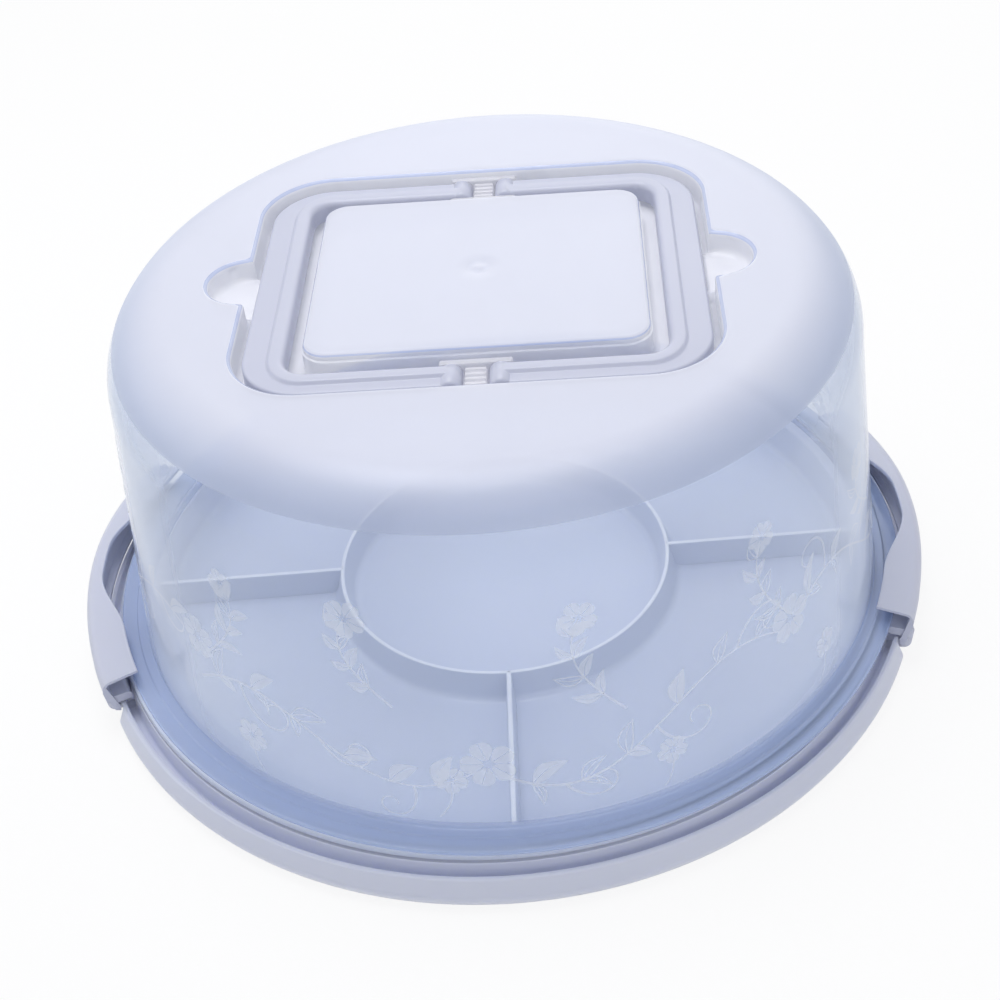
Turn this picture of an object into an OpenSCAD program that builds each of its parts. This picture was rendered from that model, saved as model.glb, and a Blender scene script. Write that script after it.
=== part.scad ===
// Round cake carrier. A clear domed lid with a frosted crown stands on a shallow
// serving tray, which lies in a grey base ring. Two side latches hinge on the ring
// and grip the lid's flange. Two U-shaped handles fold flat into the lid's crown.
// Millimetres, +Z up, origin at the centre of the face that stands on the table.

/* [Base ring] */
// Radius of the ring where it is widest
ring_r = 155; // [146:0.5:190]
// How much smaller the ring is at the table
foot_inset = 2; // [1:0.5:4]
// Height of the ring's outer lip
lip_z = 12; // [11.5:0.5:14]
// Thickness of the outer wall, lip to channel
lip_w = 4.8; // [4:0.2:6]
// Width of the channel behind the lip
channel_w = 4.2; // [4:0.2:5]
// Thickness of the channel's floor
channel_floor = 2.6; // [2:0.2:3]
// Thickness of the wall that carries the tray's rim
rim_wall_w = 2.4; // [1.6:0.2:3]
// Top of the wall that carries the tray's rim
rim_wall_z = 15.8; // [15:0.2:17]
// Width of the ledge under the tray
ledge_w = 16; // [8:1:24]
// Thickness of the ledge under the tray
ledge_t = 2.4; // [2:0.2:3]

/* [Serving tray] */
// Thickness of the tray's floor, walls and rim
tray_t = 1.6; // [1.2:0.2:2]
// Distance from the rim's outer edge to the outer wall's top
tray_rim_w = 10.4; // [9:0.2:12]
// Slope of the outer wall, as a radius change over its height
tray_draft = 3; // [1:0.5:5]
// Radius of the middle compartment
hub_r = 62.5; // [40:0.5:80]
// Top of the compartment walls
divider_z = 14.6; // [10:0.2:15]
// Number of compartments around the middle one
sectors = 4; // [3:1:8]

/* [Lid] */
// Height of the lid's top above the table
lid_top_z = 144.5; // [120:1:200]
// Gap between the flange's edge and the ring's lip
flange_gap = 3.2; // [2:0.2:4]
// Thickness of the flange
flange_t = 1.8; // [1.4:0.2:2.2]
// Width of the flange outside the side wall
flange_w = 9.4; // [7:0.2:11]
// Radius lost by the side wall from foot to shoulder
lid_draft = 8.4; // [2:0.5:14]
// Radius of the rounded shoulder
shoulder_r = 24; // [12:1:30]
// Wall thickness
lid_t = 1.8; // [1.4:0.2:2.4]
// How far the lid sits turned on the base, in degrees
lid_turn = -2; // [-10:0.5:10]
// How far the lid sits off the middle of the base, along X
lid_shift = 2; // [-2:0.1:2]

/* [Lid recess] */
// Length of the recess that holds the handles, along X
recess_x = 158.6; // [150:1:175]
// Width of the recess, along Y
recess_y = 135.4; // [132:0.2:150]
// Corner radius of the recess
recess_r = 25; // [15:1:35]
// Depth of the recess
recess_d = 11; // [10.5:0.5:14]
// Length of the raised middle, along X
plateau_x = 113; // [90:0.2:114]
// Width of the raised middle, along Y
plateau_y = 94; // [80:0.5:95]
// Corner radius of the raised middle
plateau_r = 9; // [4:1:15]
// Radius of the finger scoops
scoop_r = 14; // [10:1:18]
// Depth of the finger scoops
scoop_d = 8; // [5:0.5:10]

/* [Handles] */
// Gap all round between a folded handle and the recess
handle_gap = 3.8; // [2:0.2:5]
// Width of the grip
grip_w = 14; // [10:0.5:16]
// Width of the two legs
leg_w = 10.6; // [8:0.2:12]
// Thickness of a handle
handle_t = 7.2; // [5:0.2:7.4]
// Distance of each pivot from the middle
pivot_x = 8; // [7:0.5:10]
// Depth of the pivots below the lid's top
pivot_drop = 5.5; // [5.2:0.1:6]
// Radius of the knuckle round each pivot
knuckle_r = 3.8; // [3.2:0.1:4]
// Radius of a handle's pivot pins
handle_pin_r = 1.6; // [1.2:0.1:2]

/* [Latches] */
// Half the angle that a latch covers
latch_half = 23.7; // [18:0.1:28]
// How far a latch stands out past the ring in its middle
latch_bulge = 2.2; // [1:0.1:3]
// How far it stands out at its ends
latch_end_bulge = 0.6; // [0.2:0.1:1]
// Wall thickness of a latch
latch_t = 2.6; // [2:0.1:3]
// Top of a latch in its middle
latch_top_z = 29; // [27:0.2:32]
// Top of a latch at its ends
latch_end_z = 24.8; // [24:0.2:26.4]
// Thickness of the jaw over the flange
jaw_t = 2.4; // [2:0.1:3]
// How far the jaws reach over the flange
jaw_overlap = 3.8; // [2:0.1:4]
// Radius of the finger cut-out in the jaw, as a share of the latch's half length
finger_share = 0.616; // [0.5:0.002:0.8]
// Lower edge of the latch between its arms
latch_low_z = 12.6; // [12.5:0.1:14]
// Thickness of the latch's lower lip, which fills its gap to the ring
low_lip_t = 1.8; // [1.4:0.2:2.4]
// Distance from the ring's widest radius in to the hinge axis
hinge_inset = 12; // [10:0.5:14]
// Height of the hinge axis
hinge_z = 8; // [7.5:0.1:9]
// Radius of the hinge knuckles
lug_r = 4; // [3.5:0.1:4.2]
// Radius of a latch's hinge pins
latch_pin_r = 2; // [1.5:0.1:2.4]
// Distance of an arm from its latch's end
arm_inset = 5.5; // [3:0.1:12]
// Width of a latch's arm
arm_w = 5.4; // [4:0.2:7]
// Width of a lug on the ring
lug_w = 5.6; // [4:0.2:7]

/* [Fits] */
// Radial clearance round a turning pin
pin_fit = 0.05; // [0.02:0.01:0.1]
// Clearance beside a part that swings
side_fit = 0.4; // [0.3:0.05:0.6]

/* [Hidden] */
$fn = 96;
eps = 0.01;

// Ring and channel
foot_r = ring_r - foot_inset;
lip_r = ring_r - lip_w;
rim_wall_r = lip_r - channel_w;
ledge_r = rim_wall_r - rim_wall_w - ledge_w;
lip_chamfer = 1;

// Tray
tray_r = rim_wall_r;
tray_z = ledge_t;
tray_top_z = rim_wall_z + tray_t;
tray_wall_r = tray_r - tray_rim_w;

// Lid
flange_r = lip_r - flange_gap;
flange_top_z = tray_top_z + flange_t;
foot_wall_r = flange_r - flange_w;
crown_r = foot_wall_r - lid_draft;
shoulder_z = lid_top_z - shoulder_r;
recess_z = lid_top_z - recess_d;

// Handles
handle_x = recess_x / 2 - handle_gap;
handle_y = recess_y / 2 - handle_gap;
handle_r = recess_r - handle_gap;
handle_top_z = lid_top_z - pivot_drop + handle_t / 2;
handle_side_y = handle_y - leg_w;
knuckle_gap = side_fit;
pivot_z = lid_top_z - pivot_drop;
pin_len = 3;
hinge_web = 3.2;
outer_web = handle_gap - knuckle_gap + 0.5;
block_half = pivot_x - knuckle_r - side_fit;

// Latches
hinge_x = ring_r - hinge_inset;
jaw_r = flange_r - jaw_overlap;
pocket_r = lip_r + 1.6;
pocket_half = latch_half + 1.1;
bulge_shift = (latch_bulge - latch_end_bulge) / (1 - cos(latch_half));
bulge_r = ring_r + latch_bulge - bulge_shift;
latch_half_y = ring_r * sin(latch_half);
latch_rise = latch_top_z - latch_end_z;
arch_r = (latch_half_y * latch_half_y + latch_rise * latch_rise) / (2 * latch_rise);
bar_z = lip_z + 0.6;
bar_t = 3.4;
bar_r = flange_r + 0.4;
low_lip_r = pocket_r + 0.6;
finger_r = finger_share * latch_half_y;
finger_x = pocket_r + 0.8 - finger_r;
arm_y = latch_half_y - arm_inset - arm_w;
arm_end = arm_y + side_fit / 2;
lug_end = arm_y - side_fit / 2;
arm_play = 0.8;
slot_back = lug_r + 2.4;
pin_end = 1;

// A rectangle with round corners, centred on the origin
module rounded(x, y, r) {
    square([x - 2 * r, y], center = true);
    square([x, y - 2 * r], center = true);
    for (sx = [-1, 1]) {
        for (sy = [-1, 1]) {
            translate([sx * (x / 2 - r), sy * (y / 2 - r)]) circle(r);
        }
    }
}

// A flat wedge about +X, from angle a to angle b
module wedge(a, b, reach) {
    mid = (a + b) / 2;
    polygon([[0, 0], reach * [cos(a), sin(a)], 1.2 * reach * [cos(mid), sin(mid)], reach * [cos(b), sin(b)]]);
}

// Places the lid and its handles as they sit on the base
module on_lid() {
    translate([lid_shift, 0, 0]) rotate([0, 0, lid_turn]) children();
}

// A cylinder along Y, from y = a to y = b
module rod_y(x, z, r, a, b) {
    translate([x, b, z]) rotate([90, 0, 0]) cylinder(r = r, h = b - a);
}

// ---- Base ring ----

// Cross-section of the ring, radius and height
module ring_section() {
    polygon([
        [ledge_r, 0],
        [foot_r - lip_chamfer, 0],
        [foot_r, lip_chamfer],
        [ring_r, lip_z - 3.4],
        [ring_r - lip_chamfer, lip_z - 1],
        [ring_r - 2.6 * lip_chamfer, lip_z],
        [lip_r + lip_chamfer / 2, lip_z],
        [lip_r, lip_z - lip_chamfer / 2],
        [lip_r, channel_floor],
        [rim_wall_r, channel_floor],
        [rim_wall_r, rim_wall_z],
        [rim_wall_r - rim_wall_w, rim_wall_z],
        [rim_wall_r - rim_wall_w, ledge_t],
        [ledge_r, ledge_t]
    ]);
}

// The space in which the latch at +X sits and swings
module latch_pocket() {
    translate([0, 0, -1]) linear_extrude(lip_z + 2) difference() {
        wedge(-pocket_half, pocket_half, ring_r + 10);
        circle(pocket_r);
    }
    for (s = [-1, 1]) {
        translate([hinge_x - slot_back, min(s * lug_end, s * (arm_y + arm_w + arm_play)), channel_floor])
            cube([slot_back + hinge_inset + 1, arm_w + arm_play + side_fit / 2, lip_z]);
    }
}

module ring_lugs() {
    for (s = [-1, 1]) {
        rod_y(hinge_x, hinge_z, lug_r, s > 0 ? lug_end - lug_w : -lug_end, s > 0 ? lug_end : lug_w - lug_end);
    }
}

module base_ring() color([0.76, 0.77, 0.84]) {
    difference() {
        union() {
            difference() {
                rotate_extrude() ring_section();
                latch_pocket();
                rotate([0, 0, 180]) latch_pocket();
            }
            ring_lugs();
            rotate([0, 0, 180]) ring_lugs();
        }
        for (x = [-hinge_x, hinge_x]) {
            for (s = [-1, 1]) {
                rod_y(x, hinge_z, latch_pin_r + pin_fit, s * lug_end - lug_w - pin_end, s * lug_end + lug_w + pin_end);
            }
        }
    }
}

// ---- Serving tray ----

// Cross-section of the floor, outer wall and rim
module tray_section() {
    inner_r = tray_wall_r - tray_t;
    polygon([
        [0, tray_z],
        [tray_wall_r - tray_draft, tray_z],
        [tray_wall_r, rim_wall_z],
        [tray_r, rim_wall_z],
        [tray_r, tray_top_z],
        [inner_r, tray_top_z],
        [inner_r - tray_draft, tray_z + tray_t],
        [0, tray_z + tray_t]
    ]);
}

module serving_tray() color([0.72, 0.78, 0.90]) {
    wall_h = divider_z - tray_z - eps;
    rotate_extrude() tray_section();
    translate([0, 0, tray_z + eps]) {
        difference() {
            cylinder(r = hub_r + tray_t / 2, h = wall_h);
            translate([0, 0, -1]) cylinder(r = hub_r - tray_t / 2, h = wall_h + 2);
        }
        for (i = [0 : sectors - 1]) {
            rotate([0, 0, 90 + 360 / sectors * i])
                translate([hub_r, -tray_t / 2, 0])
                    cube([tray_wall_r - tray_draft - tray_t - hub_r + 1, tray_t, wall_h]);
        }
    }
}

// ---- Lid ----

// Solid of the dome, less an even skin of thickness t
module dome(t) {
    r = shoulder_r - t;
    rotate_extrude() {
        polygon([
            [0, tray_top_z - (t > 0 ? 1 : 0)],
            [foot_wall_r - t, tray_top_z - (t > 0 ? 1 : 0)],
            [foot_wall_r - t, flange_top_z],
            [crown_r - t, shoulder_z],
            [0, shoulder_z]
        ]);
        intersection() {
            translate([crown_r - shoulder_r, shoulder_z]) circle(r);
            translate([0, shoulder_z]) square([crown_r + 1, shoulder_r + 1]);
        }
        translate([0, shoulder_z]) square([crown_r - shoulder_r, r]);
    }
}

// The recess round the raised middle, grown by a skin of thickness t
module recess(t) {
    difference() {
        translate([0, 0, recess_z - t]) linear_extrude(recess_d + 1 + t)
            rounded(recess_x + 2 * t, recess_y + 2 * t, recess_r + t);
        translate([0, 0, recess_z - t - 1]) linear_extrude(recess_d + 4 + t)
            rounded(plateau_x - 2 * t, plateau_y - 2 * t, plateau_r - t);
    }
    for (s = [-1, 1]) {
        translate([s * recess_x / 2, 0, lid_top_z - scoop_d - t]) cylinder(r = scoop_r + t, h = scoop_d + 1 + t);
    }
}

// Webs that hold the handles' pins, with the block between the knuckles
module handle_webs() {
    web_x = pivot_x + knuckle_r;
    web_z = pivot_z + knuckle_r - 1;
    for (s = [-1, 1]) {
        for (y = [[handle_side_y - knuckle_gap - hinge_web, hinge_web], [handle_y + knuckle_gap, outer_web]]) {
            translate([-web_x, s * (y[0] + y[1] / 2) - y[1] / 2, recess_z - eps])
                cube([2 * web_x, y[1], web_z - recess_z]);
        }
        translate([-block_half, s * (handle_side_y + leg_w / 2) - leg_w / 2 - 1, recess_z - eps])
            cube([2 * block_half, leg_w + 2, web_z - recess_z]);
    }
}

module handle_bores() {
    for (x = [-pivot_x, pivot_x]) {
        for (s = [-1, 1]) {
            a = handle_side_y - knuckle_gap - hinge_web - 0.6;
            b = handle_y + knuckle_gap + hinge_web;
            rod_y(x, pivot_z, handle_pin_r + pin_fit, s > 0 ? a : -b, s > 0 ? b : -a);
        }
    }
}

module lid_shell() color([0.86, 0.89, 0.96, 0.45]) on_lid() {
    difference() {
        union() {
            difference() {
                union() {
                    dome(0);
                    translate([0, 0, tray_top_z]) cylinder(r = flange_r, h = flange_t);
                }
                difference() {
                    dome(lid_t);
                    recess(lid_t);
                }
                recess(0);
            }
            handle_webs();
        }
        handle_bores();
    }
}

// ---- Handles ----

// The handle on the +X side, folded flat
module handle() {
    outer_y = 2 * handle_y;
    inner_r = max(handle_r - grip_w, 4);
    translate([0, 0, handle_top_z - handle_t]) linear_extrude(handle_t) difference() {
        rounded(2 * handle_x, outer_y, handle_r);
        rounded(2 * (handle_x - grip_w), 2 * handle_side_y, inner_r);
        translate([-handle_x - 1, -handle_y - 1]) square([handle_x + 1 + pivot_x, outer_y + 2]);
    }
    for (s = [-1, 1]) {
        y0 = s > 0 ? handle_side_y : -handle_y;
        rod_y(pivot_x, pivot_z, knuckle_r, y0, y0 + leg_w);
        rod_y(pivot_x, pivot_z, handle_pin_r, y0 - pin_len, y0 + leg_w + pin_len);
    }
}

module handle_left() color([0.80, 0.82, 0.90]) on_lid() rotate([0, 0, 180]) handle();
module handle_right() color([0.80, 0.82, 0.90]) on_lid() handle();

// ---- Latches ----

// The latch on the +X side, closed
module latch() {
    intersection() {
        latch_arch(arch_r);
        union() {
            // Jaw over the flange, with the cut-out for a finger
            difference() {
                linear_extrude(latch_top_z + 1) latch_outline();
                latch_arch(arch_r - jaw_t);
                translate([0, 0, -1]) cylinder(r = jaw_r, h = latch_top_z + 3);
                translate([finger_x, 0, -1]) cylinder(r = finger_r, h = latch_top_z + 3);
            }
            // Outer wall
            translate([0, 0, latch_low_z]) linear_extrude(latch_top_z - latch_low_z + 1) difference() {
                latch_outline();
                latch_inside();
            }
            // Lower lip
            translate([0, 0, latch_low_z]) linear_extrude(low_lip_t) difference() {
                latch_outline();
                circle(low_lip_r);
            }
            for (s = [0, 1]) {
                mirror([0, s, 0]) latch_end();
            }
        }
    }
}

// One end of a latch: its wall reaches lower, and carries the lower jaw and the arm
module latch_end() {
    translate([0, 0, hinge_z]) linear_extrude(latch_end_z - hinge_z) difference() {
        end_outline();
        latch_inside();
    }
    translate([0, 0, bar_z]) linear_extrude(bar_t) difference() {
        end_outline();
        circle(bar_r);
    }
    arm();
}

// Everything below the curved top of a latch
module latch_arch(r) {
    reach = 60;
    translate([ring_r - reach, 0, latch_top_z - arch_r]) rotate([0, 90, 0])
        cylinder(r = r, h = 2 * reach, $fn = 720);
}

// Plan of a latch
module latch_outline() {
    intersection() {
        translate([bulge_shift, 0]) circle(bulge_r);
        wedge(-latch_half, latch_half, ring_r + 20);
    }
}

// Plan of the space inside a latch's outer wall
module latch_inside() {
    translate([bulge_shift, 0]) circle(bulge_r - latch_t);
}

// Plan of one end of a latch, beyond its arm's inner face
module end_outline() {
    intersection() {
        latch_outline();
        translate([0, arm_end]) square([ring_r + 20, ring_r]);
    }
}

// The arm that carries a latch's pin
module arm() {
    rod_y(hinge_x, hinge_z, lug_r, arm_end, arm_end + arm_w);
    rod_y(hinge_x, hinge_z, latch_pin_r, lug_end - lug_w + side_fit, arm_end + pin_end);
    intersection() {
        translate([hinge_x - 2, arm_end, hinge_z]) cube([slot_back + hinge_inset, arm_w, bar_z + bar_t - hinge_z]);
        translate([0, 0, hinge_z]) linear_extrude(bar_z + bar_t - hinge_z) latch_outline();
    }
}

module latch_left() color([0.78, 0.79, 0.86]) rotate([0, 0, 180]) latch();
module latch_right() color([0.78, 0.79, 0.86]) latch();

base_ring();
serving_tray();
lid_shell();
handle_left();
handle_right();
latch_left();
latch_right();
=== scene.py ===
"""The looks of a round cake carrier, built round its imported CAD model.

Every piece is made here as a mesh in millimetres and scaled to metres at the end. The
sizes are the CAD's, apart from small ones that follow the photograph more closely, and
the whole stays inside the CAD's box.
"""

import math
import random

import bmesh
import bpy
from mathutils import Matrix, Vector


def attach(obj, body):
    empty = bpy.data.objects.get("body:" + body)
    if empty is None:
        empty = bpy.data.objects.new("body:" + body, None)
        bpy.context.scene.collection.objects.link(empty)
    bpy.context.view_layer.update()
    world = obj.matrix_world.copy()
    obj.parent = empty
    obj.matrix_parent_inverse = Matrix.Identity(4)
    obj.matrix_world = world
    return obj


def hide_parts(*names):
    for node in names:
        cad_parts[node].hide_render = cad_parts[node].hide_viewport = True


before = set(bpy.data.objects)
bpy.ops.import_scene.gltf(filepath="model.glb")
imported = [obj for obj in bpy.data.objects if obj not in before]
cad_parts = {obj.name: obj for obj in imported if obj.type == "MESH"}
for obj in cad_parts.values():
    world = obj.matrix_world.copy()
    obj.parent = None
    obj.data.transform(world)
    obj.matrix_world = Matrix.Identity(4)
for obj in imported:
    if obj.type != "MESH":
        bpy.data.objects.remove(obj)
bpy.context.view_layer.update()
MM = 0.001

# ---- Sizes in millimetres, the CAD's or close to them ----

RING_R = 155.0
RING_INNER_R = 127.6
LIP_Z = 12.0
LIP_R = 150.2
RIM_WALL_R = 146.0
RIM_WALL_Z = 15.8
RIM_WALL_W = 2.4
RIM_STEP_H = 2.6  # this far below its top the wall's outside steps in, under the tray's edge
POCKET_R = 151.8
POCKET_PLAY = 0.8  # how far a pocket reaches past its latch's end, in degrees
SLOT = (19.75, 22.5)  # the angles between which a latch's arm passes the lip
CHANNEL_Z = 5.5
SLOT_Z = 2.6
LUG_R = 4.0
LUG_W = 5.6
SIDE_FIT = 0.4  # the clearance beside a part that swings

TRAY_T = 1.6
TRAY_Z = 2.4
TRAY_WALL_R = 135.6
TRAY_FOOT_R = 132.6
TRAY_EDGE_H = 1.3  # how far the rim's edge is turned down
HUB_R = 62.5
DIVIDER_Z = 14.6

LID_SHIFT = Vector((2.0, 0.0, 0.0))
LID_TURN = math.radians(-2)
LID_Z = 144.5
FLANGE_R = 147.0
FLANGE_Z = 17.4
FLANGE_T = 1.8
WALL_FOOT_R = 137.6
WALL_FOOT_H = 3.4  # where the plain side wall begins, above the flange's underside
WALL_TOP_R = 129.2
SHOULDER_R = 24.0
SKIN = 1.5
FROST_ANGLE = 31.0  # the frosting ends this far up the shoulder's arc, in degrees
FROST_FADE = 1.1  # the width of its end, in degrees

RECESS = (78.4, 66.8, 24.1)  # half length, half width, corner radius
SCOOP_X = 79.3
PLATEAU = (56.5, 48.2, 9.0)  # the same of the recess's raised middle
RECESS_D = 11.0
SCOOP_R = 13.0
SCOOP_D = 8.0

HANDLE = (75.5, 63.9, 21.2)  # the pair's outline: half length, half width, corner radius
HANDLE_Z = 135.4
HANDLE_T = 7.35
GRIP_W = 14.0
LEG_W = 10.6
PIVOT_X = 8.0
PIVOT_Z = 139.0
KNUCKLE_R = 3.8
HANDLE_PIN_R = 1.6
HANDLE_PIN_LENGTH = 3

LATCH_HALF = 23.7
RIGHT_LATCH = (-22.7, 24.4)  # where its ends are, in degrees from +X
LEFT_LATCH = (-24.1, 23.7)  # the same from -X
LATCH_R = 157.1  # outer radius in the middle
LATCH_TOP = 29.0
LATCH_END_TOP = 24.8
LATCH_LOW = 12.6
LATCH_T = 1.9
LATCH_PIN_R = 2.0
HINGE_X = 143.0
HINGE_Z = 8.0
ARM_Y = 51.6
ARM_W = 5.4

PLASTIC_IOR = 1.5
MERGE_DISTANCE = 2e-6  # in metres
SMALLEST_EDGE = 1e-6  # in metres


# ---- Mesh helpers ----


def smooth(x, low=0.0, high=1.0):
    """0 below low, 1 above high, with a smooth ramp between."""
    t = min(max((x - low) / (high - low), 0.0), 1.0)
    return t * t * (3 - 2 * t)


def fillet(corners, closed=True, steps=5):
    """A 2D outline of (x, y, radius) corners with its corners rounded."""
    out = []
    n = len(corners)
    for i, (x, y, r) in enumerate(corners):
        here = Vector((x, y))
        if not r or (not closed and i in (0, n - 1)):
            out.append(here)
            continue
        before = (Vector(corners[i - 1][:2]) - here).normalized()
        after = (Vector(corners[(i + 1) % n][:2]) - here).normalized()
        half = before.angle(after) / 2
        reach = r / math.tan(half)
        centre = here + (before + after).normalized() * (r / math.sin(half))
        a, b = here + before * reach - centre, here + after * reach - centre
        turn = a.angle_signed(b)
        for k in range(steps + 1):
            t = -turn * k / steps
            c, s = math.cos(t), math.sin(t)
            out.append(centre + Vector((a.x * c - a.y * s, a.x * s + a.y * c)))
    return out


class Builder:
    """Collects faces in millimetres and makes one object of them."""

    def __init__(self):
        self.verts, self.faces, self.slots = [], [], []

    def grid(self, rows, slot=0, around=True, close=False, flip=False):
        """Quads between rows of points.

        around joins each row's ends, and close joins the last row to the first. slot is a
        material's number, or a function that gives it for the gap after row i.
        """
        n = len(rows[0])
        start = len(self.verts)
        for row in rows:
            self.verts += [tuple(p) for p in row]
        count = len(rows)
        for i in range(count if close else count - 1):
            a, b = start + i * n, start + ((i + 1) % count) * n
            for j in range(n if around else n - 1):
                k = (j + 1) % n
                quad = (a + j, a + k, b + k, b + j)
                self.faces.append(quad[::-1] if flip else quad)
                self.slots.append(slot(i) if callable(slot) else slot)

    def cap(self, row, slot=0, flip=False):
        """One flat face inside a row."""
        start = len(self.verts)
        self.verts += [tuple(p) for p in row]
        face = tuple(range(start, start + len(row)))
        self.faces.append(face[::-1] if flip else face)
        self.slots.append(slot)

    def sweep(self, sections, slot=0):
        """A closed tube through closed sections, with flat ends."""
        self.grid(sections, slot)
        self.cap(sections[0], slot, flip=True)
        self.cap(sections[-1], slot)

    def rod(self, centre, radius, a, b, slot=0, edge=0.4, steps=28):
        """A round bar along Y from y = a to y = b, with rounded edges."""
        stations = [(a, radius - edge), (a + edge, radius), (b - edge, radius), (b, radius - edge)]
        ring = [2 * math.pi * k / steps for k in range(steps)]
        x, z = centre
        self.sweep(
            [[(x + r * math.sin(t), y, z + r * math.cos(t)) for t in ring] for y, r in stations],
            slot,
        )

    def block(self, low, high, slot=0, edge=0.5):
        """A box with rounded upright edges and a softened rim."""
        (x0, y0, z0), (x1, y1, z1) = low, high
        outline = fillet([(x0, y0, edge), (x1, y0, edge), (x1, y1, edge), (x0, y1, edge)], steps=4)
        mid = Vector(((x0 + x1) / 2, (y0 + y1) / 2))

        def at(z, inset):
            sx, sy = 1 - 2 * inset / (x1 - x0), 1 - 2 * inset / (y1 - y0)
            return [(mid.x + (p.x - mid.x) * sx, mid.y + (p.y - mid.y) * sy, z) for p in outline]

        rim = ((z0, 0), (z1 - edge, 0), (z1 - 0.3 * edge, 0.3 * edge), (z1, edge))
        self.sweep([at(z, inset) for z, inset in rim], slot)

    def make(
        self, name, body, slot_name, materials, replaces=(), matrix=None, sharp=40.0, paint=None
    ):
        """Makes the object, in metres, on its body and in the place of the CAD nodes named.

        Edges that bend by more than sharp degrees stay hard. paint gives a face's material by
        the face's centre and normal.
        """
        mesh = bpy.data.meshes.new(name)
        mesh.from_pydata([(x * MM, y * MM, z * MM) for x, y, z in self.verts], [], self.faces)
        for m in materials:
            mesh.materials.append(m)
        mesh.polygons.foreach_set("material_index", self.slots)
        mesh.polygons.foreach_set("use_smooth", [True] * len(self.faces))
        if matrix:
            mesh.transform(matrix)
        bm = bmesh.new()
        bm.from_mesh(mesh)
        bmesh.ops.remove_doubles(bm, verts=bm.verts, dist=MERGE_DISTANCE)
        bmesh.ops.dissolve_degenerate(bm, edges=bm.edges, dist=SMALLEST_EDGE)
        bmesh.ops.recalc_face_normals(bm, faces=bm.faces)
        for e in bm.edges:
            if len(e.link_faces) == 2 and e.calc_face_angle(0) > math.radians(sharp):
                e.smooth = False
        if paint:
            for f in bm.faces:
                f.material_index = paint(f.calc_center_median(), f.normal)
        bm.to_mesh(mesh)
        bm.free()
        obj = bpy.data.objects.new(name, mesh)
        bpy.context.scene.collection.objects.link(obj)
        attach(obj, body)
        for node in replaces:
            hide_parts(node)
        return obj


def revolved(profile, steps):
    """Rows for Builder.grid: the (radius, z) profile turned about Z."""
    angles = [2 * math.pi * k / steps for k in range(steps)]
    return [[(r * math.cos(a), r * math.sin(a), z) for a in angles] for r, z in profile]


def on_lid():
    """Where the lid sits on the base, in metres."""
    return Matrix.Translation(LID_SHIFT * MM) @ Matrix.Rotation(LID_TURN, 4, "Z")


# ---- Materials ----


def new_material(name):
    """A material with its node tree, its shader and its output's surface socket."""
    m = bpy.data.materials.new(name)
    m.use_nodes = True
    tree = m.node_tree
    shader = next(n for n in tree.nodes if n.type == "BSDF_PRINCIPLED")
    out = next(n for n in tree.nodes if n.type == "OUTPUT_MATERIAL")
    return m, tree, shader, out.inputs["Surface"]


def noise(tree, scale, detail=3.0):
    place = tree.nodes.new("ShaderNodeTexCoord")
    n = tree.nodes.new("ShaderNodeTexNoise")
    n.inputs["Scale"].default_value = scale
    n.inputs["Detail"].default_value = detail
    tree.links.new(place.outputs["Object"], n.inputs["Vector"])
    return n.outputs["Fac"]


def ramp(tree, fac, low, high):
    """A colour that runs from low to high with fac. high is a colour or an output to link."""
    mix = tree.nodes.new("ShaderNodeMix")
    mix.data_type = "RGBA"
    mix.inputs["A"].default_value = (*low, 1)
    if isinstance(high, tuple):
        mix.inputs["B"].default_value = (*high, 1)
    else:
        tree.links.new(high, mix.inputs["B"])
    tree.links.new(fac, mix.inputs["Factor"])
    return mix.outputs["Result"]


def level(tree, fac, low, high):
    """A number that runs from low to high with fac."""
    m = tree.nodes.new("ShaderNodeMapRange")
    m.inputs["To Min"].default_value = low
    m.inputs["To Max"].default_value = high
    tree.links.new(fac, m.inputs["Value"])
    return m.outputs["Result"]


def calculate(tree, operation, first, second):
    """A Math node's result. second is a number or an output to link."""
    n = tree.nodes.new("ShaderNodeMath")
    n.operation = operation
    tree.links.new(first, n.inputs[0])
    if isinstance(second, float):
        n.inputs[1].default_value = second
    else:
        tree.links.new(second, n.inputs[1])
    return n.outputs[0]


def mix_shaders(tree, share, first, second):
    """first where share is 0 and second where it is 1."""
    mix = tree.nodes.new("ShaderNodeMixShader")
    for place, output in enumerate((share, first, second)):
        tree.links.new(output, mix.inputs[place])
    return mix.outputs[0]


def bump(tree, shader, height, strength, distance):
    b = tree.nodes.new("ShaderNodeBump")
    b.inputs["Strength"].default_value = strength
    b.inputs["Distance"].default_value = distance
    tree.links.new(height, b.inputs["Height"])
    tree.links.new(b.outputs["Normal"], shader.inputs["Normal"])


def edge_on(tree, power):
    """0 where a surface is seen face on and 1 where it is seen edge on."""
    weight = tree.nodes.new("ShaderNodeLayerWeight")
    weight.inputs["Blend"].default_value = 0.5
    return calculate(tree, "POWER", weight.outputs["Facing"], power)


def shoulder_shade_fade(tree):
    """0 half-way down the lid's shoulder and 1 at the crown, slow at first. The painted shade on
    the lower shoulder fades out with it.
    """
    place = tree.nodes.new("ShaderNodeTexCoord")
    split = tree.nodes.new("ShaderNodeSeparateXYZ")
    height = tree.nodes.new("ShaderNodeMapRange")
    height.inputs["From Min"].default_value = (LID_Z - SHOULDER_R / 2) * MM
    height.inputs["From Max"].default_value = LID_Z * MM
    tree.links.new(place.outputs["Object"], split.inputs[0])
    tree.links.new(split.outputs["Z"], height.inputs["Value"])
    return calculate(tree, "POWER", height.outputs["Result"], 2.0)


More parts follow.
